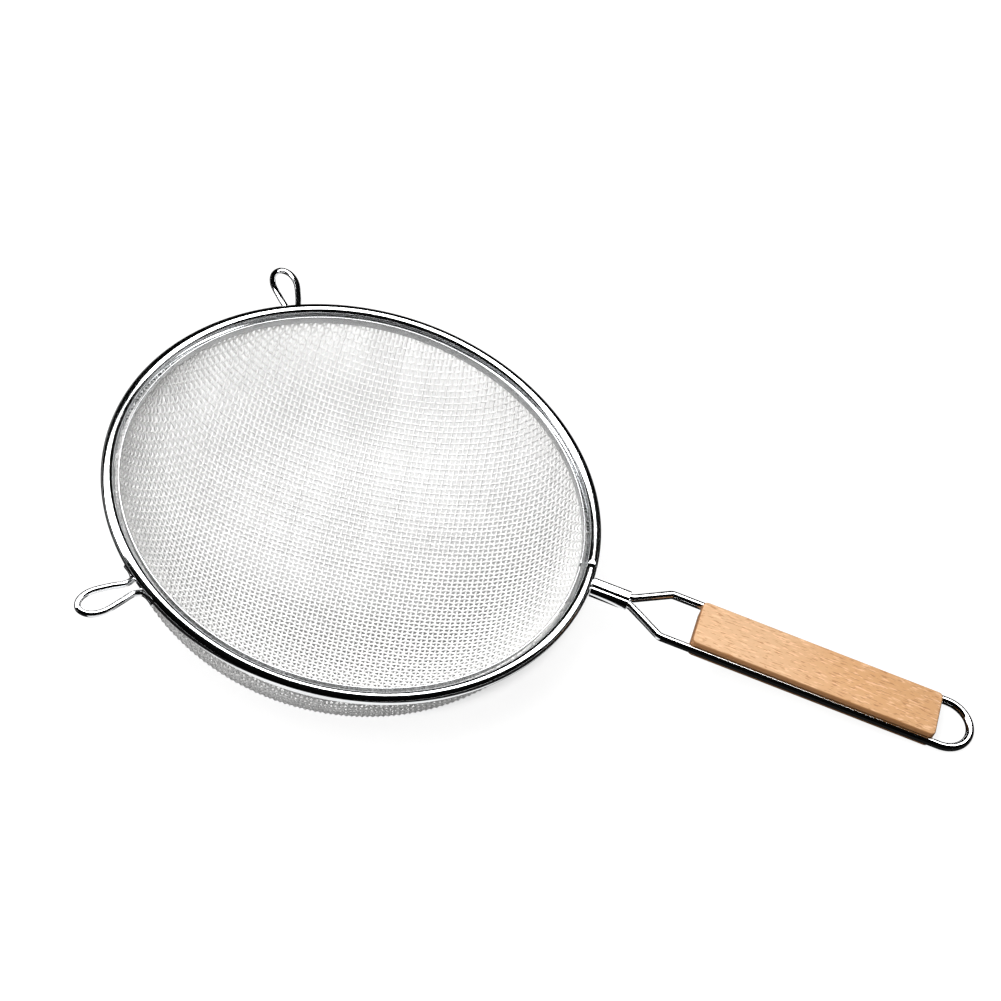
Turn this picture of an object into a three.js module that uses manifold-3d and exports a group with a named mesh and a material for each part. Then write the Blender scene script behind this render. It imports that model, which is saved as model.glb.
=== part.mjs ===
// Wire mesh strainer: a bowl of woven wire in a rolled steel rim, with a hairpin wire handle,
// a flat wooden grip and two wire ears that hook over a pot.
// Millimetres, +Z up. The pieces are built with the rim level and its centre at the origin,
// then the whole strainer is tilted until it lies on its bowl and on the end of its handle.
import * as THREE from "three";
import { mergeVertices } from "three/addons/utils/BufferGeometryUtils.js";
import Module from "manifold-3d";

const wasm = await Module();
wasm.setup();

// Driving dimensions: the rim
const rimDiameter = 240;
const beadDiameter = 6;
const rimSheet = 0.6;
const rollOpening = 70;
const rollMiddle = 225;
const seamAngle = 4.2;
const seamWidth = 0.5;
const bandSheet = 0.6;
const bandRise = 1.8;
const bandDrop = 5.5;

// Driving dimensions: the bowl of woven wire
const bowlDepth = 75;
const bowlFullness = 2.2;
const clothWire = 1.6;
const clothPitch = 11.5;
const clothTurn = 9.5;
const clothRise = 1;

// Driving dimensions: the handle
const handleWire = 4;
const handleDrop = 2.2;
const bendLength = 1.2;
const sleeveLength = 18.5;
const sleeveWall = 0.8;
const neckReach = 19;
const legLead = 15;
const gripLength = 121.7;
const gripWidth = 26;
const gripThickness = 10.4;
const gripChamfer = 1.2;
const wireStandOut = 0.5;
const loopLead = 3.5;

// Driving dimensions: the ears
const earWire = 3;
const leftEarAngle = 124.2;
const rightEarAngle = 127.5;
const earReach = 30;
const earRootSpacing = 6.6;
const earLoopSpacing = 12.2;
const earLoopLength = 9.3;
const earFoot = 9;
const earDroop = 4;

// Clearance between neighbouring pieces, and the fineness of round forms
const seatGap = 0.3;
const ringSteps = 64;
const rollSteps = 9;
const rollInsideSteps = 7;
const coreSides = 6;
const wireSides = 10;
const bendSteps = 4;
const loopSteps = 16;
const earSides = 6;
const earSteps = 28;
const sleeveSteps = 4;
const grooveSteps = 6;
const tiltSteps = 50;
const profileSamples = 600;
const wallShare = 0.9;
const mergeDistance = 1e-4;

const radians = THREE.MathUtils.degToRad;
const alongX = new THREE.Matrix4().makeBasis(
  new THREE.Vector3(0, 1, 0),
  new THREE.Vector3(0, 0, 1),
  new THREE.Vector3(1, 0, 0),
);

// A named piece with a finish of its own
function piece(name, geometry, finish) {
  const mesh = new THREE.Mesh(geometry, new THREE.MeshStandardMaterial(finish));
  mesh.name = name;
  return mesh;
}

const polishedSteel = () => ({ color: 0xd4d6d8, roughness: 0.16, metalness: 1 });
const wovenSteel = () => ({ color: 0xc9c8c6, roughness: 0.34, metalness: 1 });
const paleBeech = () => ({ color: 0xe3b684, roughness: 0.62, metalness: 0 });

// Solids for cutting, and geometry back from them
function solidOf(geometry) {
  const bare = geometry.clone();
  bare.deleteAttribute("normal");
  bare.deleteAttribute("uv");
  const merged = mergeVertices(bare, mergeDistance);
  return new wasm.Manifold(new wasm.Mesh({
    numProp: 3,
    vertProperties: new Float32Array(merged.attributes.position.array),
    triVerts: new Uint32Array(merged.index.array),
  }));
}

function geometryOf(solid) {
  const mesh = solid.getMesh();
  const geometry = new THREE.BufferGeometry();
  geometry.setAttribute("position", new THREE.BufferAttribute(mesh.vertProperties, 3));
  geometry.setIndex(new THREE.BufferAttribute(mesh.triVerts, 1));
  geometry.computeVertexNormals();
  return geometry;
}

// A ring turned about the upright axis from a closed outline of radius and height
function turned(outline) {
  const closed = [...outline, outline[0]];
  return new THREE.LatheGeometry(closed, ringSteps).rotateX(Math.PI / 2);
}

// Points on an arc of the rim's bead, from one angle to another in the plane of radius and height
function beadArc(radius, from, to, steps) {
  return Array.from({ length: steps + 1 }, (_, k) => {
    const angle = radians(from + ((to - from) * k) / steps);
    return new THREE.Vector2(beadCentre + radius * Math.cos(angle), radius * Math.sin(angle));
  });
}

// A path that passes through points, with one step of a sweep from each point to the next
class WirePath extends THREE.Curve {
  constructor(points) {
    super();
    this.points = points;
  }

  getUtoTmapping(u) {
    return u;
  }

  getPoint(t, target = new THREE.Vector3()) {
    const place = t * (this.points.length - 1);
    const before = Math.min(Math.floor(place), this.points.length - 2);
    return target.lerpVectors(this.points[before], this.points[before + 1], place - before);
  }
}

// A round wire along a path
function wire(diameter, path, steps, sides) {
  const section = new THREE.Shape().absarc(0, 0, diameter / 2, 0, 2 * Math.PI);
  return new THREE.ExtrudeGeometry(section, { extrudePath: path, steps, curveSegments: sides / 2 });
}

// The rim's bead, with room for the mesh inside it and for the inner band inside the mesh
const rimRadius = rimDiameter / 2;
const beadRadius = beadDiameter / 2;
const beadCentre = rimRadius - beadRadius;
const coreRadius = beadRadius - rimSheet - seatGap;
const clothRadius = beadCentre - beadRadius - seatGap - clothWire / 2;

// Half of the bowl's section, from the bottom up the wall and on into a straight collar inside the rim
class BowlProfile extends THREE.Curve {
  constructor(radius, depth, fullness, collar) {
    super();
    this.arcLengthDivisions = profileSamples;
    Object.assign(this, { radius, depth, fullness, collar });
  }

  getPoint(t, target = new THREE.Vector2()) {
    if (t >= wallShare) {
      return target.set(this.radius, (this.collar * (t - wallShare)) / (1 - wallShare));
    }
    const angle = (t / wallShare) * (Math.PI / 2);
    const power = 2 / this.fullness;
    return target.set(this.radius * Math.sin(angle) ** power, -this.depth * Math.cos(angle) ** power);
  }

  // Radius of the wall at a depth below the rim
  radiusAt(drop) {
    return this.radius * (1 - (drop / this.depth) ** this.fullness) ** (1 / this.fullness);
  }

  // Distance from the centre to the plane that touches the bowl from below at a tilt
  support(tilt) {
    const dual = this.fullness / (this.fullness - 1);
    return ((this.radius * Math.sin(tilt)) ** dual + (this.depth * Math.cos(tilt)) ** dual) ** (1 / dual);
  }
}

const clothCollar = clothRise + clothWire;
const bowl = new BowlProfile(clothRadius, bowlDepth, bowlFullness, clothCollar);
const clothReach = bowl.getLength() - clothWire;

// Woven wire pressed into a bowl: two families of wires in a flat sheet, laid over the bowl's section.
// Each wire has a diamond section, with its ridges inside and outside the bowl, and the wires share
// their corners where they cross, so that the whole mesh is one closed body.
function wovenBowl() {
  const half = clothWire / 2;
  const endMargin = clothWire;
  const rows = Math.ceil(clothReach / clothPitch);
  const positions = [];

  // Where a point of the flat sheet lies on the bowl, lifted by a height along the outward normal
  const pressed = (u, v, height) => {
    const share = Math.hypot(u, v) / bowl.getLength();
    const point = bowl.getPointAt(share);
    const tangent = bowl.getTangentAt(share);
    const heading = Math.atan2(v, u) + radians(clothTurn);
    const radius = point.x + tangent.y * height;
    return new THREE.Vector3(radius * Math.cos(heading), radius * Math.sin(heading), point.y - tangent.x * height);
  };

  // The four corners of a wire's section: inside ridge, left, outside ridge, right
  const section = (u, v, left, right) => [
    pressed(u, v, -half),
    pressed(u + left[0] * half, v + left[1] * half, 0),
    pressed(u, v, half),
    pressed(u + right[0] * half, v + right[1] * half, 0),
  ];

  const triangle = (a, b, c) => positions.push(...a.toArray(), ...b.toArray(), ...c.toArray());
  const quad = (a, b, c, d) => {
    triangle(a, b, c);
    triangle(a, c, d);
  };
  const isCrossing = (i, j) => Math.hypot(i, j) * clothPitch < clothReach - endMargin;

  // One length of wire from a crossing, to the next crossing or to its own end in the rim
  const length = (i, j, du, dv) => {
    const u = i * clothPitch;
    const v = j * clothPitch;
    const joins = isCrossing(i + du, j + dv);
    if (joins && du + dv < 0) {
      return;
    }
    const start = section(u, v, [du - dv, dv + du], [du + dv, dv - du]);
    const across = du ? v : u;
    const along = du ? u * du : v * dv;
    const toEdge = Math.sqrt(clothReach ** 2 - across ** 2) - along;
    const run = joins ? clothPitch : Math.min(toEdge, clothPitch - clothWire - seatGap);
    const end = joins
      ? section(u + du * run, v + dv * run, [-du - dv, du - dv], [dv - du, -dv - du])
      : section(u + du * run, v + dv * run, [-dv, du], [dv, -du]);
    for (let k = 0; k < 4; k += 1) {
      const next = (k + 1) % 4;
      quad(start[k], end[k], end[next], start[next]);
    }
    if (!joins) {
      quad(end[3], end[2], end[1], end[0]);
    }
  };

  for (let i = -rows; i <= rows; i += 1) {
    for (let j = -rows; j <= rows; j += 1) {
      if (isCrossing(i, j)) {
        length(i, j, 1, 0);
        length(i, j, -1, 0);
        length(i, j, 0, 1);
        length(i, j, 0, -1);
      }
    }
  }
  const geometry = new THREE.BufferGeometry();
  geometry.setAttribute("position", new THREE.Float32BufferAttribute(positions, 3));
  return mergeVertices(geometry, mergeDistance);
}

// Sheet rolled round the rim's core wire, open towards the mesh, with its butt seam beside the handle
function rimHoop() {
  const from = rollMiddle + rollOpening / 2 - 360;
  const to = rollMiddle - rollOpening / 2;
  const outside = beadArc(beadRadius, from, to, rollSteps);
  const inside = beadArc(beadRadius - rimSheet, to, from, rollInsideSteps);
  const seam = new THREE.BoxGeometry(2 * beadDiameter, seamWidth, 2 * beadDiameter);
  seam.translate(beadCentre, 0, 0).rotateZ(radians(seamAngle));
  return geometryOf(solidOf(turned([...outside, ...inside])).subtract(solidOf(seam)));
}

// Flat hoop that clamps the mesh against the rim from inside
function innerBand() {
  const outer = bowl.radiusAt(bandDrop) - clothWire / 2 - seatGap;
  const inner = outer - bandSheet;
  return turned([
    new THREE.Vector2(outer, -bandDrop),
    new THREE.Vector2(outer, bandRise),
    new THREE.Vector2(inner, bandRise),
    new THREE.Vector2(inner, -bandDrop),
  ]);
}

// Places along the handle, counted from the rim outwards
const handleStart = rimRadius + seatGap;
const sleeveEnd = handleStart + sleeveLength;
const neckEnd = sleeveEnd + neckReach;
const gripStart = neckEnd + legLead;
const gripEnd = gripStart + gripLength;
const loopStart = gripEnd + loopLead;
const legSide = gripWidth / 2 + wireStandOut;
const loopTip = loopStart + legSide;
const pinchSide = (handleWire + seatGap) / 2;

// One wire bent like a hairpin: both legs lie side by side in the neck, spread to the grip's edges
// and meet in the round hanging loop
function hairpin() {
  const at = (x, y) => new THREE.Vector3(x, y, -handleDrop);
  const pinchEnd = sleeveEnd + bendLength;
  const spread = new THREE.Vector2(neckEnd - pinchEnd, legSide - pinchSide).setLength(bendLength);
  const bend = (a, corner, b) => new THREE.QuadraticBezierCurve3(a, corner, b).getPoints(bendSteps);

  // One leg from the rim to the loop, on the side given by its sign
  const leg = (side) => [
    at(handleStart, side * pinchSide),
    ...bend(
      at(sleeveEnd, side * pinchSide),
      at(pinchEnd, side * pinchSide),
      at(pinchEnd + spread.x, side * (pinchSide + spread.y)),
    ),
    ...bend(
      at(neckEnd - spread.x, side * (legSide - spread.y)),
      at(neckEnd, side * legSide),
      at(neckEnd + bendLength, side * legSide),
    ),
  ];
  const round = new THREE.EllipseCurve(loopStart, 0, legSide, legSide, -Math.PI / 2, Math.PI / 2);
  const loop = round.getPoints(loopSteps).map((p) => at(p.x, p.y));
  const path = new WirePath([...leg(-1), ...loop, ...leg(1).reverse()]);
  return wire(handleWire, path, path.points.length - 1, wireSides);
}

// An upright oval outline with round ends, twice a half width across
function oval(halfWidth, halfHeight) {
  const flat = halfWidth - halfHeight;
  const outline = new THREE.Shape();
  outline.moveTo(-flat, -halfHeight);
  outline.lineTo(flat, -halfHeight);
  outline.absarc(flat, 0, halfHeight, -Math.PI / 2, Math.PI / 2);
  outline.lineTo(-flat, halfHeight);
  outline.absarc(-flat, 0, halfHeight, Math.PI / 2, (3 * Math.PI) / 2);
  return outline;
}

// Sheet sleeve pressed round both legs where they meet the rim
function neckSleeve() {
  const boreHeight = handleWire / 2 + seatGap;
  const boreWidth = pinchSide + boreHeight;
  const section = oval(boreWidth + sleeveWall, boreHeight + sleeveWall);
  section.holes.push(oval(boreWidth, boreHeight));
  const geometry = new THREE.ExtrudeGeometry(section, {
    depth: sleeveLength, bevelEnabled: false, curveSegments: sleeveSteps,
  });
  return geometry.applyMatrix4(alongX).translate(handleStart, 0, -handleDrop);
}

// Flat wooden grip with chamfered edges and a round groove along each side for the wire
function woodGrip() {
  const halfWidth = gripWidth / 2;
  const halfHeight = gripThickness / 2;
  const flat = halfWidth - gripChamfer;
  const shoulder = halfHeight - gripChamfer;
  const groove = handleWire / 2 + seatGap;
  const half = Math.acos(wireStandOut / groove);
  const outline = new THREE.Shape();
  outline.moveTo(-flat, -halfHeight);
  outline.lineTo(flat, -halfHeight);
  outline.lineTo(halfWidth, -shoulder);
  outline.absarc(legSide, 0, groove, half - Math.PI, Math.PI - half, true);
  outline.lineTo(halfWidth, shoulder);
  outline.lineTo(flat, halfHeight);
  outline.lineTo(-flat, halfHeight);
  outline.lineTo(-halfWidth, shoulder);
  outline.absarc(-legSide, 0, groove, half, -half, true);
  outline.lineTo(-halfWidth, -shoulder);
  const geometry = new THREE.ExtrudeGeometry(outline, {
    depth: gripLength - 2 * gripChamfer,
    bevelThickness: gripChamfer,
    bevelSize: gripChamfer,
    bevelOffset: -gripChamfer,
    bevelSegments: 1,
    curveSegments: grooveSteps,
  });
  return geometry.applyMatrix4(alongX).translate(gripStart + gripChamfer, 0, -handleDrop);
}

// Wire ear: two feet under the rim's bead, two legs and a drop-shaped loop that hooks over a pot,
// turned about the rim's centre by an angle from the handle
function ear(angle) {
  const under = -(beadRadius + seatGap + earWire / 2);
  const rootHalf = earRootSpacing / 2;
  const loopHalf = earLoopSpacing / 2;
  const tip = rimRadius + earReach - earWire / 2;
  const widest = tip - earLoopLength;
  const level = -earDroop;
  const oneSide = [
    [beadCentre, rootHalf + earFoot, under],
    [beadCentre, rootHalf + earFoot / 2, under],
    [rimRadius - earWire / 2, rootHalf + earWire / 4, under],
    [rimRadius + earWire, rootHalf - earWire / 4, (under + level) / 2],
    [(rimRadius + widest) / 2, (rootHalf + loopHalf) / 2, level],
    [widest, loopHalf, level],
    [widest + earLoopLength * Math.SQRT1_2, loopHalf * Math.SQRT1_2, level],
  ].map(([x, y, z]) => new THREE.Vector3(x, y, z));
  const otherSide = oneSide.map((p) => new THREE.Vector3(p.x, -p.y, p.z)).reverse();
  const path = new THREE.CatmullRomCurve3([...oneSide, new THREE.Vector3(tip, 0, level), ...otherSide]);
  return wire(earWire, path, earSteps, earSides).rotateZ(radians(angle));
}

// The tilt at which the bowl and the end of the handle touch the same level surface
function restTilt() {
  const bowlReach = (tilt) => bowl.support(tilt) + clothWire / 2;
  const loopReach = (tilt) => loopTip * Math.sin(tilt) + handleDrop * Math.cos(tilt) + handleWire / 2;
  let low = 0;
  let high = Math.PI / 4;
  for (let k = 0; k < tiltSteps; k += 1) {
    const middle = (low + high) / 2;
    if (loopReach(middle) < bowlReach(middle)) {
      low = middle;
    } else {
      high = middle;
    }
  }
  return low;
}

const rimCore = turned(beadArc(coreRadius, 0, 360, coreSides).slice(1));
const strainer = new THREE.Group();
strainer.add(
  piece("mesh_bowl", wovenBowl(), wovenSteel()),
  piece("rim_hoop", rimHoop(), polishedSteel()),
  piece("rim_core_wire", rimCore, polishedSteel()),
  piece("inner_band", innerBand(), polishedSteel()),
  piece("handle_wire", hairpin(), polishedSteel()),
  piece("neck_sleeve", neckSleeve(), polishedSteel()),
  piece("wood_grip", woodGrip(), paleBeech()),
  piece("ear_left", ear(leftEarAngle), polishedSteel()),
  piece("ear_right", ear(-rightEarAngle), polishedSteel()),
);

// The strainer at rest: tilted towards the handle, centred over the origin and standing at height zero
strainer.rotation.y = restTilt();
strainer.updateMatrixWorld(true);
const extent = new THREE.Box3().setFromObject(strainer, true);
const middle = extent.getCenter(new THREE.Vector3());
strainer.position.set(-middle.x, -middle.y, -extent.min.z);

export default strainer;
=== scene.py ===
"""A wire mesh strainer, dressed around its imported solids.

The bowl is woven wire pressed round, held in a rolled steel rim. A hairpin of wire carries a flat beech
grip, and two wire ears rest on a pot. Pieces are modelled with the rim level and its middle at the origin,
then laid in the rest pose of the solids. Lengths are in metres.
"""

import math

import bpy
import numpy as np
from mathutils import Matrix, Vector


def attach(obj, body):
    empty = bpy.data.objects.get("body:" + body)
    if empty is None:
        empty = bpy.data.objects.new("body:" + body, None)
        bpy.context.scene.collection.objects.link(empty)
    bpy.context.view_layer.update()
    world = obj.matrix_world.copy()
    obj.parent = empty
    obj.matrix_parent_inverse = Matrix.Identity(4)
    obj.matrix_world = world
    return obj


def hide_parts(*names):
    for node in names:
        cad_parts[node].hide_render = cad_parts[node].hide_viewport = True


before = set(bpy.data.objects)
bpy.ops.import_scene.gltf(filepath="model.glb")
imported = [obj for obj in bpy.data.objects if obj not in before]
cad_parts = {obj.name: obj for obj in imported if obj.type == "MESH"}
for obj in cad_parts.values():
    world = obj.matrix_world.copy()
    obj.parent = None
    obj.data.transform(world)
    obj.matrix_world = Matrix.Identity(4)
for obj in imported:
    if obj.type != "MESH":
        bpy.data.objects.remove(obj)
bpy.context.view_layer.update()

bl_info = {
    "name": "Mesh strainer",
    "version": (1, 0, 0),
    "blender": (4, 5, 0),
    "location": "View3D > Sidebar > Strainer",
    "description": "Models a wire mesh strainer with a beech grip around its packed solids",
    "category": "Object",
}

# Vertices nearer than this are merged, and edges sharper than this are eased
MERGE_DISTANCE = 1e-7
SHARP_EDGE = math.radians(50)

# Steps round the rim for its visible sheets and for the wire inside it
RIM_STEPS = 320
CORE_STEPS = 160

# The stage's sizes that nobody needs to change
SENSOR_WIDTH = 36.0
FLOOR_SIZE = 16.0
LAMP_SIZE = 0.5
LAMP_AIM = (-0.02, 0.0, 0.05)
SLOT_LENGTH = 1.6
CARD_SIZE = 3.2
SURROUND_RADIUS = 3.0
CARD_LIFT = 0.0002


# Properties

def length(name, description, default):
    """A length in metres that a user may change."""
    return bpy.props.FloatProperty(
        name=name, description=description, default=default, precision=5, unit="LENGTH", subtype="DISTANCE"
    )


def angle(name, description, degrees):
    """An angle that a user may change, given in degrees."""
    return bpy.props.FloatProperty(
        name=name, description=description, default=math.radians(degrees), unit="ROTATION", subtype="ANGLE"
    )


def number(name, description, default):
    """A plain number that a user may change."""
    return bpy.props.FloatProperty(name=name, description=description, default=default)


def colour(name, description, default):
    """A linear colour that a user may change."""
    return bpy.props.FloatVectorProperty(
        name=name, description=description, default=default, size=3, min=0.0, max=1.0, subtype="COLOR"
    )


def place(name, description, default):
    """A point in the row frame that a user may change."""
    return bpy.props.FloatVectorProperty(
        name=name, description=description, default=default, size=3, unit="LENGTH", subtype="TRANSLATION"
    )


class RestPose(bpy.types.PropertyGroup):
    """How the strainer lies: on its bowl and on the end of its handle."""

    tilt: angle("Tilt", "How far the rim dips towards the handle", 14.09063)
    centre: place("Rim centre", "Where the middle of the rim is", (-0.09358015, -0.00238781, 0.07993425))


class RimSizes(bpy.types.PropertyGroup):
    """The rolled rim, the wire inside it and the band that clamps the mesh."""

    diameter: length("Diameter", "Across the outside of the rim", 0.24)
    bead: length("Bead", "Thickness of the rolled bead", 0.006)
    sheet: length("Sheet", "Thickness of the rolled sheet", 0.0006)
    core: length("Core", "Thickness of the wire inside the bead", 0.0042)
    opening: angle("Opening", "Gap of the roll towards the mesh", 70)
    opening_middle: angle("Opening middle", "Where round the bead the gap of the roll is", 225)
    seam_angle: angle("Seam", "How far the rim's seam is from the handle", 4.2)
    seam_width: length("Seam width", "Gap between the two ends of the rim", 0.0005)
    band_radius: length("Band radius", "From the rim's middle to the outside of the inner band", 0.11164)
    band_sheet: length("Band sheet", "Thickness of the inner band", 0.0004)
    lip_radius: length("Lip radius", "From the rim's middle to the edge of the clamping lip", 0.1141)
    lip_drop: length("Lip drop", "Depth of the lip's edge below the bead's middle", 0.0044)
    band_rise: length("Band rise", "Height of the inner band above the bead's middle", 0.0007)
    band_drop: length("Band drop", "Depth of the inner band below the bead's middle", 0.0036)
    band_fold: length("Band fold", "How far the band's top is folded out over the mesh", 0.0005)


class BowlSizes(bpy.types.PropertyGroup):
    """The bowl of woven wire."""

    radius: length("Radius", "From the middle to the mesh inside the rim", 0.1129)
    depth: length("Depth", "From the rim's middle to the bottom of the mesh", 0.07445)
    fullness: number("Fullness", "Two is an ellipse, and more is fuller towards the wall", 2.2)
    rise: length("Rise", "How far the mesh stands up inside the rim", -0.0022)
    pitch: length("Pitch", "From one wire of the mesh to the next", 0.0025)
    wire: length("Wire", "Thickness of the mesh wire", 0.0012)
    turn: angle("Turn", "Turn of the weave from the handle's direction", 9.5)


class HandleSizes(bpy.types.PropertyGroup):
    """The hairpin of wire and the sleeve round its neck."""

    wire: length("Wire", "Thickness of the handle wire", 0.004)
    drop: length("Drop", "Depth of the wire's middle below the rim's middle", 0.0022)
    start: length("Start", "Where the wire begins at the rim", 0.1203)
    pinch: length("Pinch", "From the middle to each leg inside the sleeve", 0.00215)
    pinch_end: length("Pinch end", "Where the legs part", 0.14)
    shoulder: length("Shoulder", "Where the legs run straight again", 0.1578)
    side: length("Side", "From the middle to each leg beside the grip", 0.0135)
    loop_start: length("Loop start", "Where the hanging loop begins", 0.298)
    bend: length("Bend", "Length of wire taken by half a bend", 0.0012)
    sleeve_length: length("Sleeve length", "Length of the sleeve", 0.0185)
    sleeve_height: length("Sleeve height", "Thickness of the pressed sleeve", 0.0062)
    sleeve_wall: length("Sleeve wall", "Sheet thickness of the sleeve", 0.0008)
    sleeve_valley: length("Sleeve valley", "How deep the sleeve is pressed in between the legs", 0.0006)


class GripSizes(bpy.types.PropertyGroup):
    """The flat beech grip."""

    start: length("Start", "Where the grip begins", 0.1728)
    span: length("Length", "Length of the grip", 0.1217)
    width: length("Width", "Width of the grip", 0.026)
    thickness: length("Thickness", "Thickness of the grip", 0.0104)
    corner: length("Corner", "Radius of the four upright corners", 0.0025)
    rounding: length("Rounding", "How far the edges are eased", 0.0008)
    groove: length("Groove", "Radius of the groove along each side", 0.0023)


class EarSizes(bpy.types.PropertyGroup):
    """The two wire ears."""

    wire: length("Wire", "Thickness of the ear wire", 0.003)
    left: angle("Left ear", "How far round the rim the left ear is from the handle", 124.2)
    right: angle("Right ear", "How far round the rim the right ear is from the handle", 127.5)
    reach: length("Reach", "How far the ears stand out from the rim", 0.03)
    root: length("Root", "Between the legs where they leave the rim", 0.0066)
    loop: length("Loop", "Across the middle line of the loop", 0.0122)
    loop_length: length("Loop length", "From the widest place of the loop to its tip", 0.0093)
    foot: length("Foot", "Length of each foot along the rim", 0.009)
    droop: length("Droop", "Depth of the loop below the rim's middle", 0.004)
    gap: length("Gap", "Between the feet and the rim above them", 0.0003)


class Finishes(bpy.types.PropertyGroup):
    """Colours of the steel and the wood."""

    steel: colour("Polished steel", "Rim, handle and ears", (0.80, 0.81, 0.82))
    cloth: colour("Woven steel", "Wires of the mesh", (0.95, 0.945, 0.94))
    wood: colour("Beech", "Grip towards its loop end", (0.695, 0.37, 0.16))
    wood_pale: colour("Pale beech", "Grip towards the bowl", (0.73, 0.462, 0.268))
    # Painted shade: the grip's sides and ends are darkened to this colour for the shade they lie in.
    wood_side_shade: colour("Beech side shade", "Painted shade on the sides and ends of the grip", (0.34, 0.15, 0.055))
    wood_fleck: colour("Beech flecks", "Short dark rays of the grip", (0.45, 0.2, 0.075))


class StageSetup(bpy.types.PropertyGroup):
    """Camera, floor and light."""

    camera: place("Camera", "Where the camera stands", (0.19202, -0.70986, 0.8753))
    camera_turn: bpy.props.FloatVectorProperty(
        name="Camera turn", description="Which way the camera faces", size=3, subtype="EULER",
        default=[math.radians(a) for a in (43.4457, 0.422, 16.4034)],
    )
    lens: number("Lens", "Focal length in millimetres on a sensor of 36", 83.4708)
    sky: number("Sky", "Light from all round on the object", 0.12)
    lamp: number("Lamp", "Power of the lamp over the strainer in watts", 12.0)
    lamp_place: place("Lamp place", "Where the lamp over the strainer is", (-0.08, -0.46, 0.98))
    back_lamp: number("Back lamp", "Power of the lamp behind the strainer in watts", 5.0)
    back_lamp_place: place("Back lamp place", "Where the lamp behind the strainer is", (-0.2, 0.95, 0.6))
    floor: number("Floor", "Paleness of the floor", 0.2)
    floor_lift: number("Floor lift", "How much paler the floor looks than it lights the object", 0.88)
    shade_lift: number("Shade lift", "The same in the far part of the bowl's shade", 0.36)
    near_lift: number("Near shade lift", "The same in the near part of the bowl's shade", 0.07)
    shade_place: place("Shade place", "Middle of the bowl's shade on the floor", (-0.1253, 0.0652, 0))
    shade_turn: angle("Shade turn", "Which way the bowl's shade is longest", 135.6)
    shade_long: length("Shade length", "Half the length of the bowl's shade", 0.152)
    shade_wide: length("Shade width", "Half the width of the bowl's shade", 0.1206)
    glow: number("Glow", "How much paler the middle of the bowl's shade is", 0.45)
    studio_turn: angle("Studio turn", "How far the overhead light and cards are turned to the camera", 18)
    card_height: length("Card height", "How high the overhead cards are", 0.37)
    slot_front: length("Slot front", "From over the bowl's middle to the overhead light's front", 0.025)
    slot_back: length("Slot back", "From over the bowl's middle to the overhead light's back", 0.22)
    slot_light: number("Slot light", "How bright the overhead light looks in the steel", 6.0)
    card_side: length("Card side", "How far the front card reaches right of the bowl's middle", 0.6)
    card_low: angle("Low card", "How high the dark card all round the floor is", 45)
    pale_place: place("Pale place", "Middle of the floor that shows pale in the steel", (-0.07, -0.05, 0))
    pale_wide: length("Pale width", "Half the width of the floor that shows pale in the steel", 0.11)
    pale_deep: length("Pale depth", "Half the depth of the floor that shows pale in the steel", 0.42)
    # Painted shade: the dark card under the bowl stands for the bowl's shade on the floor in reflections.
    under_place: place("Under place", "Middle of the dark card under the bowl", (-0.08, 0, 0))
    under_radius: length("Under radius", "Radius of the dark card under the bowl", 0.11)


class StrainerSettings(bpy.types.PropertyGroup):
    """All sizes, colours and settings of the strainer."""

    rest: bpy.props.PointerProperty(type=RestPose)
    rim: bpy.props.PointerProperty(type=RimSizes)
    bowl: bpy.props.PointerProperty(type=BowlSizes)
    handle: bpy.props.PointerProperty(type=HandleSizes)
    grip: bpy.props.PointerProperty(type=GripSizes)
    ear: bpy.props.PointerProperty(type=EarSizes)
    finish: bpy.props.PointerProperty(type=Finishes)
    stage: bpy.props.PointerProperty(type=StageSetup)


# Modelling

def clear_selection():
    """Leaves edit mode and deselects all, so that the next operator acts on new work alone."""
    if bpy.context.object and bpy.context.object.mode != "OBJECT":
        bpy.ops.object.mode_set(mode="OBJECT")
    bpy.ops.object.select_all(action="DESELECT")


def added(name):
    """Names what an operator has just added."""
    obj = bpy.context.object
    obj.name = obj.data.name = name
    return obj


def pick(obj, test):
    """Edits obj with only the vertices selected whose place passes the test."""
    bpy.ops.object.mode_set(mode="EDIT")
    bpy.ops.mesh.select_mode(type="VERT")
    bpy.ops.mesh.select_all(action="DESELECT")
    bpy.ops.object.mode_set(mode="OBJECT")
    for vertex in obj.data.vertices:
        vertex.select = test(vertex.co)
    bpy.ops.object.mode_set(mode="EDIT")


def modify(obj, kind, **settings):
    """Adds a modifier with these settings and applies it."""
    made = obj.modifiers.new(kind.title(), kind)
    for name, value in settings.items():
        setattr(made, name, value)
    bpy.context.view_layer.objects.active = obj
    bpy.ops.object.modifier_apply(modifier=made.name)


def ease_edges(obj, width, segments):
    """Rounds the sharp edges of a piece."""
    modify(obj, "BEVEL", width=width, segments=segments, limit_method="ANGLE", angle_limit=SHARP_EDGE)


def apply_place(obj):
    """Puts the object's place, turn and scale into its mesh."""
    bpy.context.view_layer.objects.active = obj
    obj.select_set(True)
    bpy.ops.object.transform_apply(location=True, rotation=True, scale=True)


def spin_round(obj, s, steps):
    """Spins the section in obj round the rim, from one side of the seam to the other."""
    gap = s.rim.seam_width / (s.rim.diameter / 2)
    obj.rotation_euler.z = s.rim.seam_angle + gap / 2
    apply_place(obj)
    bpy.ops.object.mode_set(mode="EDIT")
    bpy.ops.mesh.select_all(action="SELECT")
    bpy.ops.mesh.spin(steps=steps, angle=math.tau - gap, center=(0, 0, 0), axis=(0, 0, 1))
    bpy.ops.mesh.select_all(action="SELECT")
    bpy.ops.mesh.remove_doubles(threshold=MERGE_DISTANCE)
    bpy.ops.mesh.normals_make_consistent(inside=False)
    bpy.ops.object.mode_set(mode="OBJECT")


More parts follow.
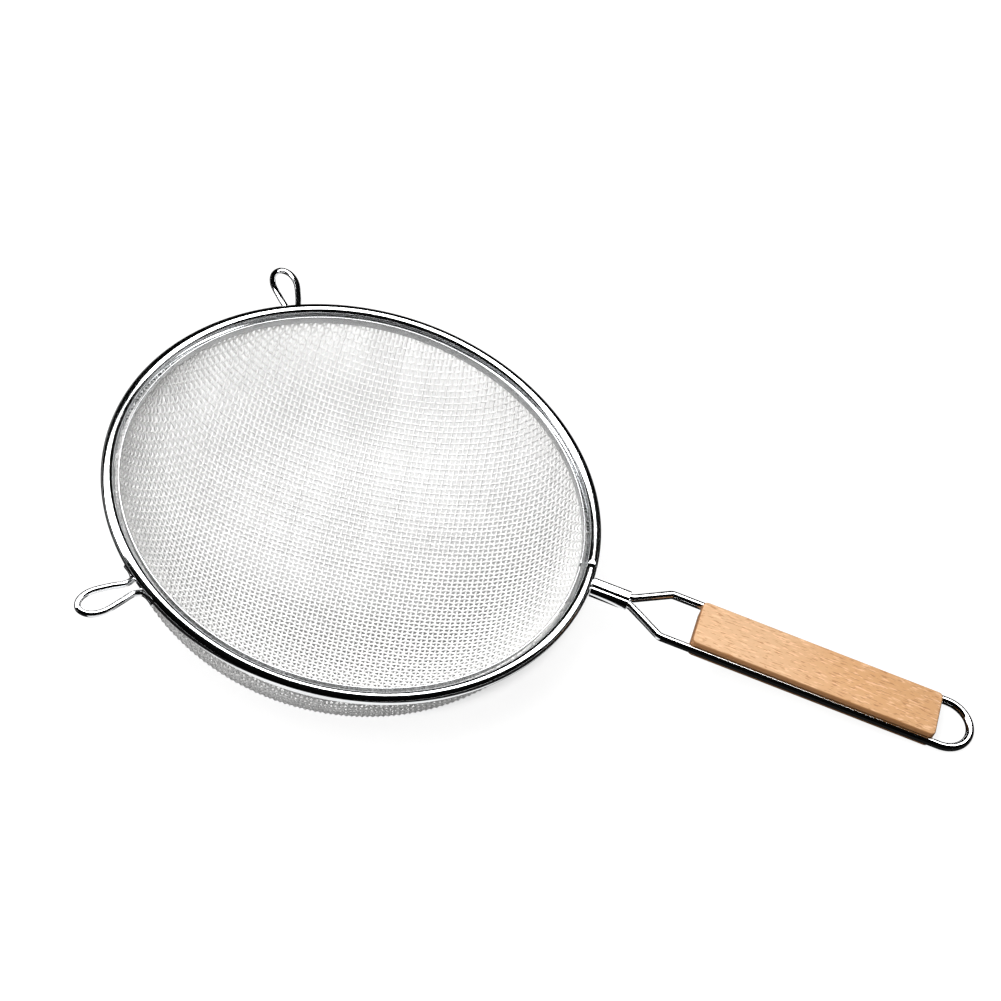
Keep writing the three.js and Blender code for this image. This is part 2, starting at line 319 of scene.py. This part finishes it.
def as_wire(obj, thickness, corners):
    """Turns a chain of edges into a round wire with closed ends."""
    clear_selection()
    bpy.context.view_layer.objects.active = obj
    obj.select_set(True)
    if obj.type == "MESH":
        bpy.ops.object.convert(target="CURVE")
    obj.data.dimensions = "3D"
    obj.data.bevel_depth = thickness / 2
    obj.data.bevel_resolution = (corners - 4) // 2
    obj.data.use_fill_caps = True
    bpy.ops.object.convert(target="MESH")
    bpy.ops.object.mode_set(mode="EDIT")
    bpy.ops.mesh.select_all(action="SELECT")
    bpy.ops.mesh.remove_doubles(threshold=MERGE_DISTANCE)
    bpy.ops.mesh.normals_make_consistent(inside=False)
    bpy.ops.object.mode_set(mode="OBJECT")
    return obj


def drawn(name, runs):
    """A curve with one straight-stepped line for each run of points."""
    clear_selection()
    bpy.ops.curve.primitive_bezier_curve_add()
    obj = added(name)
    obj.data.splines.clear()
    for points in runs:
        line = obj.data.splines.new("POLY")
        line.points.add(len(points) - 1)
        line.points.foreach_set("co", np.column_stack([points, np.ones(len(points))]).ravel())
        line.use_smooth = True
    return obj


def eased(points, steps):
    """A smooth line through points, with a number of steps from each to the next."""
    points = np.asarray(points, float)
    held = np.vstack([2 * points[0] - points[1], points, 2 * points[-1] - points[-2]])
    share = (np.arange(steps) / steps)[:, None]
    line = []
    for a, b, c, d in zip(held, held[1:], held[2:], held[3:]):
        line.append(0.5 * (2 * b + (c - a) * share + (2 * a - 5 * b + 4 * c - d) * share ** 2
                           + (3 * b - a - 3 * c + d) * share ** 3))
    return np.vstack([*line, points[-1:]])


def lay_at_rest(obj, s):
    """Moves a piece from the level rim to the pose in which the strainer lies."""
    clear_selection()
    obj.matrix_world = Matrix.Translation(s.rest.centre) @ Matrix.Rotation(s.rest.tilt, 4, "Y")
    apply_place(obj)


def dress(obj, s, material, node, smooth=35):
    """Lays a finished piece at rest, gives it its finish and lets it stand for its solid."""
    lay_at_rest(obj, s)
    bpy.ops.object.shade_smooth_by_angle(angle=math.radians(smooth))
    obj.data.materials.clear()
    obj.data.materials.append(material)
    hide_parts(node)
    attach(obj, "root")


# Materials

class Value:
    """A node's output, on which Python's arithmetic adds Math nodes."""

    def __init__(self, graph, socket):
        self.graph = graph
        self.socket = socket

    def math(self, operation, a, b):
        return self.graph.node("ShaderNodeMath", {"operation": operation}, {0: a, 1: b})

    def __add__(self, other):
        return self.math("ADD", self, other)

    def __radd__(self, other):
        return self.math("ADD", other, self)

    def __sub__(self, other):
        return self.math("SUBTRACT", self, other)

    def __rsub__(self, other):
        return self.math("SUBTRACT", other, self)

    def __mul__(self, other):
        return self.math("MULTIPLY", self, other)

    def __rmul__(self, other):
        return self.math("MULTIPLY", other, self)


class Graph:
    """The nodes of a material or of the world."""

    def __init__(self, owner):
        owner.use_nodes = True
        self.nodes = owner.node_tree.nodes
        self.links = owner.node_tree.links
        self.nodes.clear()

    def node(self, kind, settings=None, sockets=None, output=0):
        """Adds a node: its settings first, then the values or links of its sockets."""
        made = self.nodes.new(kind)
        for name, value in (settings or {}).items():
            setattr(made, name, value)
        for name, value in (sockets or {}).items():
            socket = made.inputs[name]
            if isinstance(value, Value):
                self.links.new(value.socket, socket)
            elif socket.type == "RGBA" and len(value) == 3:
                socket.default_value = (*value, 1.0)
            else:
                socket.default_value = value
        return Value(self, made.outputs[output]) if made.outputs else made

    def noise(self, where, scale, detail=2.0, roughness=0.5):
        return self.node("ShaderNodeTexNoise", None, {
            "Vector": where, "Scale": scale, "Detail": detail, "Roughness": roughness,
        }, "Fac")

    def blend(self, share, a, b):
        """A colour between two."""
        return self.node("ShaderNodeMix", {"data_type": "RGBA"}, {0: share, 6: a, 7: b}, 2)

    def between(self, value, low, high):
        """The value from 0 at low to 1 at high, eased at both ends."""
        return self.node("ShaderNodeMapRange", {"interpolation_type": "SMOOTHSTEP"}, {
            "Value": value, "From Min": low, "From Max": high,
        })

    def surface(self, **sockets):
        """A principled surface as the material's output."""
        named = {name.replace("_", " "): value for name, value in sockets.items()}
        shader = self.node("ShaderNodeBsdfPrincipled", None, named)
        self.node("ShaderNodeOutputMaterial", None, {"Surface": shader})


def new_material(name):
    made = bpy.data.materials.new(name)
    return made, Graph(made)


def polished_steel(s):
    """Bright steel with faint smudges and drawing marks."""
    made, g = new_material("polished steel")
    where = g.node("ShaderNodeTexCoord", output="Object")
    smudge = g.between(g.noise(where, 70.0, 4.0, 0.6), 0.4, 0.7)
    grain = g.noise(where, 2600.0, 3.0)
    bump = g.node("ShaderNodeBump", None, {"Strength": 0.05, "Distance": 0.0001, "Height": grain}, "Normal")
    g.surface(
        Base_Color=g.blend(smudge, tuple(s.finish.steel), tuple(0.93 * c for c in s.finish.steel)),
        Metallic=1.0,
        Roughness=0.07 + 0.06 * smudge,
        Normal=bump,
    )
    return made


def core_steel_painted_shade(s):
    """Plain dark wire: its darkness is painted shade for the hollow of the rolled rim that holds it."""
    made, g = new_material("core steel painted shade")
    where = g.node("ShaderNodeTexCoord", output="Object")
    scale = g.between(g.noise(where, 300.0, 4.0, 0.6), 0.35, 0.7)
    # Painted shade: an eighth of the rim steel's colour, for the shade inside the roll.
    dark = tuple(0.12 * c for c in s.finish.steel)
    g.surface(
        Base_Color=g.blend(scale, dark, tuple(0.6 * c for c in dark)),
        Metallic=1.0,
        Roughness=0.5 + 0.2 * scale,
    )
    return made


def satin_steel(s):
    """Sheet with a softer and greyer shine than the rim."""
    made, g = new_material("satin steel")
    where = g.node("ShaderNodeTexCoord", output="Object")
    smudge = g.between(g.noise(where, 90.0, 4.0, 0.6), 0.35, 0.7)
    grey = tuple(0.55 * c for c in s.finish.steel)
    g.surface(
        Base_Color=g.blend(smudge, grey, tuple(0.85 * c for c in grey)),
        Metallic=1.0,
        Roughness=0.2 + 0.1 * smudge,
    )
    return made


def woven_steel(s):
    """Drawn wire, brighter where it has been rubbed."""
    made, g = new_material("woven steel")
    where = g.node("ShaderNodeTexCoord", output="Object")
    patch = g.between(g.noise(where, 40.0, 3.0, 0.55), 0.35, 0.7)
    fine = g.noise(where, 900.0, 2.0)
    g.surface(
        Base_Color=g.blend(patch, tuple(s.finish.cloth), tuple(0.92 * c for c in s.finish.cloth)),
        Metallic=0.1,
        Roughness=0.34 + 0.08 * patch + 0.06 * fine,
    )
    return made


def beech(s):
    """Pale beech with soft streaks and short dark rays along the grip, and painted shade on its sides and
    ends.
    """
    made, g = new_material("beech")
    where = g.node("ShaderNodeTexCoord", output="Object")
    along = g.node("ShaderNodeMapping", {"vector_type": "POINT"}, {
        "Vector": where, "Rotation": (0.0, -s.rest.tilt, 0.0),
    })

    def grain(lengthwise, crosswise, detail):
        """Noise drawn out along the grip."""
        scale = (lengthwise, crosswise, crosswise)
        return g.noise(g.node("ShaderNodeMapping", None, {"Vector": along, "Scale": scale}), 1.0, detail)

    reach = g.node("ShaderNodeSeparateXYZ", None, {0: where}, "X")
    tone = g.between(grain(9.0, 45.0, 2.0), 0.35, 0.65)
    streak = g.between(grain(60.0, 900.0, 3.0), 0.35, 0.7)
    rays = g.between(grain(230.0, 1300.0, 1.0), 0.58, 0.67)
    lights = g.between(grain(200.0, 1100.0, 1.0), 0.57, 0.67)
    share = 0.7 * g.between(reach, 0.10, 0.16) + 0.2 * tone + 0.1 * streak
    base = g.blend(share, tuple(s.finish.wood_pale), tuple(s.finish.wood))
    lit = g.blend(lights * 0.75, base, tuple(min(1.0, 1.25 * c) for c in s.finish.wood_pale))
    shaded = g.blend(rays * 0.75, lit, tuple(s.finish.wood_fleck))
    # Painted shade: faces that look neither up nor down are darkened towards the side colour, for the shade
    # on the grip's sides and ends.
    facing = g.node("ShaderNodeTexCoord", output="Normal")
    upright = g.node("ShaderNodeVectorMath", {"operation": "DOT_PRODUCT"}, {
        0: facing, 1: (math.sin(s.rest.tilt), 0.0, math.cos(s.rest.tilt)),
    }, "Value")
    flat = g.between(g.node("ShaderNodeMath", {"operation": "ABSOLUTE"}, {0: upright}), 0.6, 0.95)
    painted_side_shade = g.blend(0.15 + 0.85 * flat, tuple(s.finish.wood_side_shade), shaded)
    bump = g.node("ShaderNodeBump", None, {
        "Strength": 0.25, "Distance": 0.0002, "Height": 0.5 * lights - 0.7 * rays,
    }, "Normal")
    g.surface(
        Base_Color=painted_side_shade,
        Roughness=0.48 + 0.12 * streak - 0.05 * lights,
        Specular_IOR_Level=0.2,
        Normal=bump,
    )
    return made


# Pieces

def sheet_table(s):
    """Distance on the flat sheet, its radius and height once pressed, and the inward normal there."""
    bowl = s.bowl
    turn = np.linspace(0, math.pi / 2, 3000)
    radius = bowl.radius * np.sin(turn) ** (2 / bowl.fullness)
    height = -bowl.depth * np.cos(turn) ** (2 / bowl.fullness)
    radius, height = radius[height < bowl.rise], height[height < bowl.rise]
    run, climb = np.gradient(radius), np.gradient(height)
    size = np.hypot(run, climb)
    arc = np.concatenate([[0], np.cumsum(np.hypot(np.diff(radius), np.diff(height)))])
    return (arc + radius) / 2, radius, height, -climb / size, run / size


def pressed(table, u, v, lift, turn):
    """Where points of the flat sheet lie on the bowl, lifted towards its inside."""
    flat, radius, height, inward, upward = table
    reach = np.hypot(u, v)
    heading = np.arctan2(v, u) + turn
    out = np.interp(reach, flat, radius) + lift * np.interp(reach, flat, inward)
    up = np.interp(reach, flat, height) + lift * np.interp(reach, flat, upward)
    return np.column_stack([out * np.cos(heading), out * np.sin(heading), up])


def weave(s, across):
    """The runs of one set of wires of a plain weave, over and under the other set."""
    bowl = s.bowl
    table = sheet_table(s)
    edge = table[0][-1]
    count = int(edge / bowl.pitch)
    runs = []
    for row in range(-count, count + 1):
        side = row * bowl.pitch
        half = math.sqrt(edge ** 2 - side ** 2)
        last = int(half / (bowl.pitch / 2) - 0.3)
        if last < 4:
            continue
        steps = np.arange(-last, last + 1)
        over = np.where(steps % 2 == 0, np.where((steps // 2 + row) % 2 == 0, 1.0, -1.0), 0.0)
        along = np.concatenate([[-half], steps * bowl.pitch / 2, [half]])
        lift = np.concatenate([[0], over, [0]]) * bowl.wire / 2
        rows = np.full(len(along), side)
        if across:
            runs.append(pressed(table, rows, along, -lift, bowl.turn))
        else:
            runs.append(pressed(table, along, rows, lift, bowl.turn))
    return runs


class STRAINER_OT_bowl(bpy.types.Operator):
    """Weaves the mesh of the bowl, as two sets of wires that pass over and under each other"""

    bl_idname = "strainer.make_bowl"
    bl_label = "Woven bowl"

    def execute(self, context):
        s = context.scene.strainer
        material = woven_steel(s)
        for name, across in (("warp_wires", False), ("weft_wires", True)):
            obj = as_wire(drawn(name, weave(s, across)), s.bowl.wire, 4)
            dress(obj, s, material, "mesh_bowl", 180)
        return {"FINISHED"}


class STRAINER_OT_rim(bpy.types.Operator):
    """Rolls the rim round its core wire, and makes the band that clamps the mesh"""

    bl_idname = "strainer.make_rim"
    bl_label = "Rolled rim"

    def execute(self, context):
        s = context.scene.strainer
        rim = s.rim
        centre = (rim.diameter - rim.bead) / 2
        material = polished_steel(s)

        clear_selection()
        bpy.ops.mesh.primitive_circle_add(vertices=72, radius=rim.bead / 2, rotation=(math.pi / 2, 0, 0))
        rolled = added("rolled_rim")
        apply_place(rolled)

        def in_opening(p):
            off = (math.atan2(p.z, p.x) - rim.opening_middle + math.pi) % math.tau - math.pi
            return abs(off) < rim.opening / 2

        pick(rolled, in_opening)
        bpy.ops.mesh.delete(type="VERT")
        bpy.ops.object.mode_set(mode="OBJECT")
        uses = np.bincount([i for edge in rolled.data.edges for i in edge.vertices])
        end = min((v.co for v in rolled.data.vertices if uses[v.index] == 1), key=lambda p: p.z).copy()
        pick(rolled, lambda p: (p - end).length < 1e-6)
        bpy.ops.mesh.extrude_vertices_move(
            TRANSFORM_OT_translate={"value": (rim.lip_radius - centre - end.x, 0, -rim.lip_drop - end.z)}
        )
        bpy.ops.mesh.select_all(action="SELECT")
        bpy.ops.transform.translate(value=(centre, 0, 0))
        bpy.ops.object.mode_set(mode="OBJECT")
        spin_round(rolled, s, RIM_STEPS)
        modify(rolled, "SOLIDIFY", thickness=rim.sheet, offset=-1.0, use_even_offset=True)
        ease_edges(rolled, 0.00012, 2)
        dress(rolled, s, material, "rim_hoop")

        clear_selection()
        bpy.ops.mesh.primitive_circle_add(
            vertices=20, radius=rim.core / 2, fill_type="NGON",
            location=(centre, 0, 0), rotation=(math.pi / 2, 0, 0),
        )
        core = added("core_wire")
        apply_place(core)
        spin_round(core, s, CORE_STEPS)
        dress(core, s, core_steel_painted_shade(s), "rim_core_wire")

        clear_selection()
        inner = rim.band_radius - rim.band_sheet
        bpy.ops.mesh.primitive_plane_add(size=0.001, location=(inner, 0, -rim.band_drop))
        band = added("clamp_band")
        apply_place(band)
        bpy.ops.object.mode_set(mode="EDIT")
        bpy.ops.mesh.select_all(action="SELECT")
        bpy.ops.mesh.merge(type="CENTER")
        for step in ((0, 0, rim.band_drop + rim.band_rise), (rim.band_fold + rim.band_sheet, 0, 0)):
            bpy.ops.mesh.extrude_vertices_move(TRANSFORM_OT_translate={"value": step})
        bpy.ops.object.mode_set(mode="OBJECT")
        pick(band, lambda p: p.z > -rim.band_drop / 2 and p.x < inner + rim.band_sheet / 2)
        bpy.ops.mesh.bevel(offset=1.2 * rim.band_sheet, segments=6, affect="VERTICES")
        bpy.ops.object.mode_set(mode="OBJECT")
        spin_round(band, s, RIM_STEPS)
        self.face_towards_middle(band)
        modify(band, "SOLIDIFY", thickness=rim.band_sheet, offset=-1.0)
        ease_edges(band, 0.00015, 2)
        dress(band, s, satin_steel(s), "inner_band")
        return {"FINISHED"}

    def face_towards_middle(self, band):
        """Turns the band's sheet so that its front is the side seen from inside the bowl."""
        low = min(band.data.polygons, key=lambda face: face.center.z)
        if low.normal.x * low.center.x + low.normal.y * low.center.y > 0:
            band.data.flip_normals()


class STRAINER_OT_handle(bpy.types.Operator):
    """Bends the handle wire like a hairpin, and presses the sleeve round its neck"""

    bl_idname = "strainer.make_handle"
    bl_label = "Handle wire and sleeve"

    def execute(self, context):
        s = context.scene.strainer
        h = s.handle
        material = polished_steel(s)

        clear_selection()
        bpy.ops.mesh.primitive_plane_add(size=0.001, location=(h.start, -h.pinch, -h.drop))
        hairpin = added("hairpin_wire")
        apply_place(hairpin)
        bpy.ops.object.mode_set(mode="EDIT")
        bpy.ops.mesh.select_all(action="SELECT")
        bpy.ops.mesh.merge(type="CENTER")

        def run_to(*points):
            here = points[0]
            for there in points[1:]:
                bpy.ops.mesh.extrude_vertices_move(
                    TRANSFORM_OT_translate={"value": (there[0] - here[0], there[1] - here[1], 0)}
                )
                here = there

        leg = [(h.start, h.pinch), (h.pinch_end, h.pinch), (h.shoulder, h.side), (h.loop_start, h.side)]
        loop = [(h.loop_start + h.side * math.cos(turn), h.side * math.sin(turn))
                for turn in np.linspace(-math.pi / 2, math.pi / 2, 41)]
        run_to(*[(x, -y) for x, y in leg], *loop[1:-1], *reversed(leg))
        bpy.ops.object.mode_set(mode="OBJECT")
        pick(hairpin, lambda p: min(abs(p.x - h.pinch_end), abs(p.x - h.shoulder)) < 1e-5)
        bpy.ops.mesh.bevel(offset=h.bend, segments=10, affect="VERTICES")
        bpy.ops.object.mode_set(mode="OBJECT")
        dress(as_wire(hairpin, h.wire, 24), s, material, "handle_wire")

        half = h.sleeve_height / 2
        clear_selection()
        bpy.ops.mesh.primitive_circle_add(vertices=80, radius=half, rotation=(0, math.pi / 2, 0))
        sleeve = added("sleeve")
        apply_place(sleeve)
        for vertex in sleeve.data.vertices:
            p = vertex.co
            p.y += math.copysign(h.pinch, p.y) * min(1.0, abs(p.y) / (0.2 * half))
            press = math.exp(-((p.y / h.pinch) ** 2) * 1.6)
            p.z -= math.copysign(h.sleeve_valley * press, p.z)
        bpy.ops.object.mode_set(mode="EDIT")
        bpy.ops.mesh.select_all(action="SELECT")
        bpy.ops.transform.translate(value=(h.start, 0, -h.drop))
        bpy.ops.mesh.extrude_region_move(TRANSFORM_OT_translate={"value": (h.sleeve_length, 0, 0)})
        bpy.ops.mesh.select_all(action="SELECT")
        bpy.ops.mesh.normals_make_consistent(inside=False)
        bpy.ops.object.mode_set(mode="OBJECT")
        modify(sleeve, "SOLIDIFY", thickness=h.sleeve_wall, offset=-1.0)
        ease_edges(sleeve, 0.0002, 3)
        dress(sleeve, s, material, "neck_sleeve")
        return {"FINISHED"}


class STRAINER_OT_grip(bpy.types.Operator):
    """Cuts the flat beech grip, with eased edges and a groove along each side"""

    bl_idname = "strainer.make_grip"
    bl_label = "Beech grip"

    def execute(self, context):
        s = context.scene.strainer
        g, h = s.grip, s.handle
        clear_selection()
        bpy.ops.mesh.primitive_cube_add(size=1, location=(g.start + g.span / 2, 0, -h.drop))
        grip = added("beech_grip")
        grip.scale = (g.span, g.width, g.thickness)
        apply_place(grip)
        bpy.ops.object.mode_set(mode="EDIT")
        bpy.ops.mesh.select_mode(type="EDGE")
        bpy.ops.mesh.select_all(action="DESELECT")
        bpy.ops.object.mode_set(mode="OBJECT")
        for edge in grip.data.edges:
            low, high = (grip.data.vertices[i].co.z for i in edge.vertices)
            edge.select = abs(low - high) > g.thickness / 2
        bpy.ops.object.mode_set(mode="EDIT")
        bpy.ops.mesh.bevel(offset=g.corner, segments=8, affect="EDGES")
        bpy.ops.object.mode_set(mode="OBJECT")
        ease_edges(grip, g.rounding, 4)
        for side in (-1, 1):
            clear_selection()
            bpy.ops.mesh.primitive_cylinder_add(
                vertices=48, radius=g.groove, depth=1.2 * g.span,
                location=(g.start + g.span / 2, side * h.side, -h.drop), rotation=(0, math.pi / 2, 0),
            )
            cutter = added("groove_cutter")
            clear_selection()
            grip.select_set(True)
            modify(grip, "BOOLEAN", operation="DIFFERENCE", object=cutter, solver="EXACT")
            bpy.data.objects.remove(cutter)
        dress(grip, s, beech(s), "wood_grip", 25)
        return {"FINISHED"}


class STRAINER_OT_ears(bpy.types.Operator):
    """Bends the two wire ears, with their feet under the rim"""

    bl_idname = "strainer.make_ears"
    bl_label = "Wire ears"

    def execute(self, context):
        s = context.scene.strainer
        ear, rim = s.ear, s.rim
        edge = rim.diameter / 2
        centre = edge - rim.bead / 2
        under = -(rim.bead / 2 + ear.gap + ear.wire / 2)
        root, loop = ear.root / 2, ear.loop / 2
        tip = edge + ear.reach - ear.wire / 2
        level = -ear.droop
        widest = tip - ear.loop_length
        bow = math.sqrt(0.5)
        one_side = [
            (centre, root + ear.foot, under),
            (centre, root + ear.foot / 2, under),
            (edge - ear.wire / 2, root + ear.wire / 3, under),
            (edge + ear.wire, root, (under + level) / 2),
            ((edge + widest) / 2, (root + loop) / 2, level),
            (widest, loop, level),
            (widest + bow * ear.loop_length, bow * loop, level),
        ]
        points = [*one_side, (tip, 0, level), *[(x, -y, z) for x, y, z in reversed(one_side)]]
        material = polished_steel(s)
        sides = (("left_ear", "ear_left", ear.left), ("right_ear", "ear_right", -ear.right))
        for name, node, turn in sides:
            obj = as_wire(drawn(name, [eased(points, 10)]), ear.wire, 20)
            obj.rotation_euler.z = turn
            apply_place(obj)
            dress(obj, s, material, node)
        return {"FINISHED"}


class STRAINER_OT_stage(bpy.types.Operator):
    """Sets the camera, a plain pale floor and soft light"""

    bl_idname = "strainer.make_stage"
    bl_label = "Camera, floor and light"

    def execute(self, context):
        s = context.scene.strainer.stage
        scene = context.scene
        scene.view_settings.view_transform = "Standard"

        clear_selection()
        bpy.ops.object.camera_add(location=s.camera, rotation=s.camera_turn)
        camera = added("camera")
        camera.data.sensor_width = SENSOR_WIDTH
        camera.data.lens = s.lens
        camera.data.clip_start = 0.02
        scene.camera = camera

        world = bpy.data.worlds.new("studio")
        scene.world = world
        g = Graph(world)
        strength = s.sky + (1.0 - s.sky) * self.seen_share(g)
        light = g.node("ShaderNodeBackground", None, {"Color": (1, 1, 1), "Strength": strength})
        g.node("ShaderNodeOutputWorld", None, {"Surface": light})

        clear_selection()
        bpy.ops.mesh.primitive_plane_add(size=FLOOR_SIZE)
        floor = added("floor")
        floor.data.materials.append(self.pale_floor(s))

        lamps = (("lamp", s.lamp, s.lamp_place), ("back_lamp", s.back_lamp, s.back_lamp_place))
        for name, power, where in lamps:
            clear_selection()
            bpy.ops.object.light_add(type="AREA", location=where)
            lamp = added(name)
            lamp.data.size = LAMP_SIZE
            lamp.data.energy = power
            aim = Vector(LAMP_AIM) - lamp.location
            lamp.rotation_euler = aim.to_track_quat("-Z", "Y").to_euler()
            lamp.visible_camera = lamp.visible_glossy = False
        self.overhead(context.scene.strainer)
        return {"FINISHED"}

    def pale_floor(self, s):
        """A floor that looks paler than it lights the object, less so in the bowl's soft shade."""
        made, g = new_material("pale floor")
        spot = g.node("ShaderNodeMapping", {"vector_type": "TEXTURE"}, {
            "Vector": g.node("ShaderNodeTexCoord", output="Object"), "Location": tuple(s.shade_place),
            "Rotation": (0.0, 0.0, s.shade_turn), "Scale": (s.shade_long, s.shade_wide, 1.0),
        })
        away = g.node("ShaderNodeVectorMath", {"operation": "LENGTH"}, {0: spot}, "Value")
        along = g.node("ShaderNodeSeparateXYZ", None, {0: spot}, "X")
        across = g.node("ShaderNodeSeparateXYZ", None, {0: spot}, "Y")
        aside = g.node("ShaderNodeMath", {"operation": "ABSOLUTE"}, {0: 0.1 + along})
        glow = s.glow * (1.0 - g.between(aside, 0.05, 0.9)) * (1.0 - g.between(away, 0.35, 0.9))
        depth = g.between(0.9 * along - 0.4 * across, -0.9, 0.4)
        shade = s.near_lift + (s.shade_lift - s.near_lift) * depth
        far = g.between(along - 0.5 * across, -0.3, 0.6)
        open_floor = g.between(away, 0.9, 1.02) * (1.0 - far) + g.between(away, 0.35, 1.02) * far
        distant = 0.3 * g.between(away, 2.0, 4.5)
        lift = shade * (1.0 - open_floor) + s.floor_lift * open_floor + distant + glow
        strength = lift * self.seen_share(g)
        bright = g.node("ShaderNodeEmission", None, {"Color": (1, 1, 1), "Strength": strength})
        matt = g.node("ShaderNodeBsdfDiffuse", None, {"Color": (s.floor, s.floor, s.floor)})
        both = g.node("ShaderNodeAddShader", None, {0: bright, 1: matt})
        g.node("ShaderNodeOutputMaterial", None, {"Surface": both})
        return made

    def overhead(self, settings):
        """A long soft light over the strainer between two dark cards, which only reflections show."""
        s = settings.stage
        middle = Vector((settings.rest.centre[0], settings.rest.centre[1], s.card_height))
        front = Vector((math.sin(s.studio_turn), -math.cos(s.studio_turn), 0))
        deep = s.slot_front + s.slot_back
        clear_selection()
        bpy.ops.object.light_add(type="AREA", rotation=(0, 0, s.studio_turn),
                                 location=middle + front * (s.slot_front - s.slot_back) / 2)
        light = added("overhead_light")
        light.data.shape = "RECTANGLE"
        light.data.size = SLOT_LENGTH
        light.data.size_y = deep
        light.data.energy = math.pi * SLOT_LENGTH * deep * s.slot_light
        light.visible_camera = light.visible_diffuse = False

        cards = []
        side = Vector((-front.y, front.x, 0))
        half = CARD_SIZE / 2
        places = (
            ("dark_card_in_front", s.slot_front + half, s.card_side - half),
            ("dark_card_behind", -s.slot_back - half, 0),
        )
        for name, off, aside in places:
            clear_selection()
            bpy.ops.mesh.primitive_plane_add(
                size=CARD_SIZE, location=middle + front * off + side * aside, rotation=(0, 0, s.studio_turn)
            )
            cards.append(added(name))
            apply_place(cards[-1])
        self.dark_cards(s, cards)

    def seen_share(self, g):
        """One for what is seen, straight on or in metal or glass, and nought for light on things."""
        kinds = [g.node("ShaderNodeLightPath", output=name)
                 for name in ("Is Camera Ray", "Is Glossy Ray", "Is Transmission Ray")]
        return g.node("ShaderNodeClamp", None, {"Value": kinds[0] + kinds[1] + kinds[2]})

    def dark_cards(self, s, cards):
        """Dark cards that only reflections show: low all round, under the bowl as painted shade of the bowl
        on the floor, and on the floor.
        """
        clear_selection()
        bpy.ops.mesh.primitive_uv_sphere_add(segments=96, ring_count=48, radius=SURROUND_RADIUS)
        around = added("dark_card_around")
        pick(around, lambda p: p.z < -1e-4 or p.z > SURROUND_RADIUS * math.sin(s.card_low))
        bpy.ops.mesh.delete(type="VERT")
        bpy.ops.object.mode_set(mode="OBJECT")

        lift = Vector((0, 0, CARD_LIFT))
        # Painted shade: the dark card under the bowl stands for the bowl's shade on the floor, as the steel
        # reflects it.
        clear_selection()
        bpy.ops.mesh.primitive_circle_add(
            vertices=96, radius=s.under_radius, fill_type="NGON", location=Vector(s.under_place) + lift
        )
        under = added("dark_card_under_bowl")
        apply_place(under)

        pale = Vector(s.pale_place) + lift
        clear_selection()
        bpy.ops.mesh.primitive_circle_add(vertices=120, radius=1.0)
        below = added("dark_floor_card")
        below.location = pale
        below.scale = (s.pale_wide, s.pale_deep, 1)
        apply_place(below)
        bpy.ops.object.mode_set(mode="EDIT")
        bpy.ops.mesh.select_all(action="SELECT")
        bpy.ops.mesh.extrude_region_move()
        bpy.ops.transform.resize(value=(12, 12, 1), center_override=pale)
        bpy.ops.object.mode_set(mode="OBJECT")

        made, g = new_material("dark card")
        matt = g.node("ShaderNodeBsdfDiffuse", None, {"Color": (0.01, 0.01, 0.01)})
        g.node("ShaderNodeOutputMaterial", None, {"Surface": matt})
        for card in (*cards, around, under, below):
            card.data.materials.append(made)
            card.visible_camera = card.visible_diffuse = False
            card.visible_shadow = card.visible_transmission = False


class STRAINER_PT_panel(bpy.types.Panel):
    """Lists the strainer's pieces in the sidebar"""

    bl_idname = "STRAINER_PT_panel"
    bl_label = "Mesh strainer"
    bl_space_type = "VIEW_3D"
    bl_region_type = "UI"
    bl_category = "Strainer"

    def draw(self, context):
        for operator in operators:
            self.layout.operator(operator.bl_idname)


operators = (
    STRAINER_OT_bowl, STRAINER_OT_rim, STRAINER_OT_handle,
    STRAINER_OT_grip, STRAINER_OT_ears, STRAINER_OT_stage,
)
classes = (
    RestPose, RimSizes, BowlSizes, HandleSizes, GripSizes, EarSizes, Finishes, StageSetup, StrainerSettings,
    *operators, STRAINER_PT_panel,
)


def register():
    for kind in classes:
        bpy.utils.register_class(kind)
    bpy.types.Scene.strainer = bpy.props.PointerProperty(type=StrainerSettings)


def unregister():
    del bpy.types.Scene.strainer
    for kind in reversed(classes):
        bpy.utils.unregister_class(kind)


def main():
    register()
    bpy.ops.strainer.make_bowl()
    bpy.ops.strainer.make_rim()
    bpy.ops.strainer.make_handle()
    bpy.ops.strainer.make_grip()
    bpy.ops.strainer.make_ears()
    bpy.ops.strainer.make_stage()


if __name__ == "__main__":
    main()
